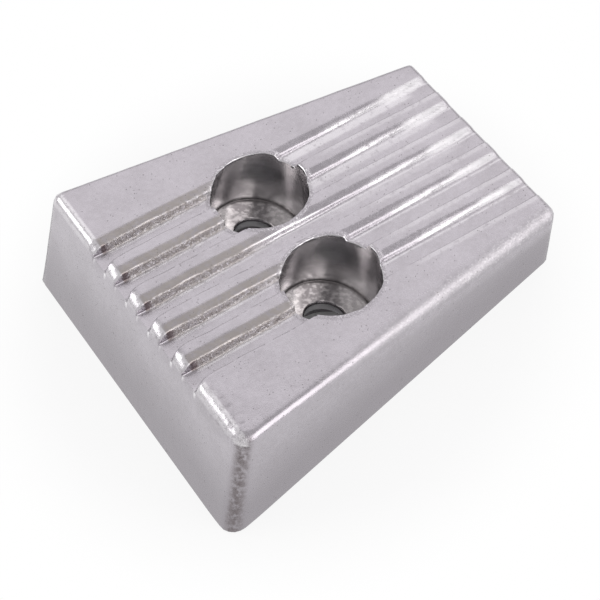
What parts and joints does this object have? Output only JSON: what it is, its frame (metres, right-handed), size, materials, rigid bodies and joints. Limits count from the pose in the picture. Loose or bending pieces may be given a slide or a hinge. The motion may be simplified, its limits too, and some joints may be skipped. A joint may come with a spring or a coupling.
{
  "type": "sacrificial anode",
  "caption": "Wedge-shaped cast anode block with a tapered plan, a ribbed sloping top and leaning counterbored bolt holes.",
  "frame": {"origin": "on the mounting face, midway between the two bolt axes", "axes": "+Z points out of the mounting face through the block, +X from the wide tall end to the narrow low end"},
  "size_m": [0.095, 0.0824, 0.0257],
  "materials": {
    "cast_zinc": "as-cast zinc alloy, satin silver grey with small pits and bright polished rib flanks; bores machined"
  },
  "bodies": {
    "root": {"anode_block": "cast_zinc"}
  },
  "joints": []
}
